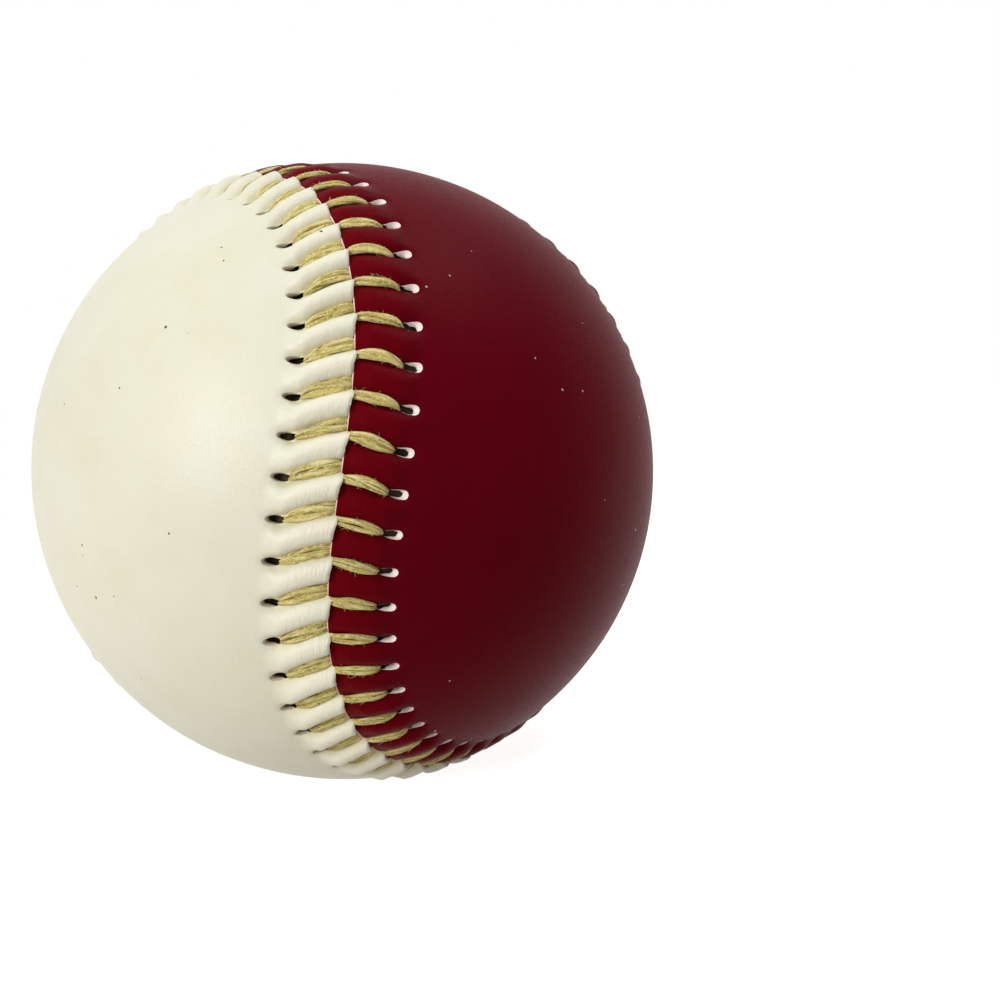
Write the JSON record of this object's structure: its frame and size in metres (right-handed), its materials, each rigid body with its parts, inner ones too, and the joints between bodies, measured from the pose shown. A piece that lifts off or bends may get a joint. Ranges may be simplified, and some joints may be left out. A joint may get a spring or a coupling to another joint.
{
  "type": "baseball",
  "caption": "Stitched leather ball with a white and a dark red cover panel laced edge to edge over a wound yarn core and a cushioned cork centre.",
  "frame": {"origin": "centre of the ball", "axes": "+Z along the seam's symmetry axis, through the middle of the dark red panel's waist; the seam crosses the X and Y axes"},
  "size_m": [0.0758, 0.0758, 0.0744],
  "materials": {
    "cork": "matt pressed cork granules",
    "black_rubber": "matt moulded rubber",
    "red_rubber": "matt moulded rubber",
    "grey_wool": "tightly wound wool yarn",
    "white_wool": "tightly wound wool yarn",
    "fine_yarn": "tightly wound fine cotton and polyester yarn",
    "white_leather": "smooth fine-grained leather, slight sheen",
    "red_leather": "smooth dyed leather, slight sheen",
    "waxed_thread": "flat plied thread with a dull wax"
  },
  "bodies": {
    "root": {"cork_core": "cork", "inner_shell_upper": "black_rubber", "inner_shell_lower": "black_rubber", "sealing_washer": "red_rubber", "rubber_jacket": "red_rubber", "first_winding": "grey_wool", "second_winding": "white_wool", "third_winding": "grey_wool", "finish_winding": "fine_yarn", "white_panel": "white_leather", "red_panel": "red_leather", "seam_thread_a": "waxed_thread", "seam_thread_b": "waxed_thread"}
  },
  "joints": []
}
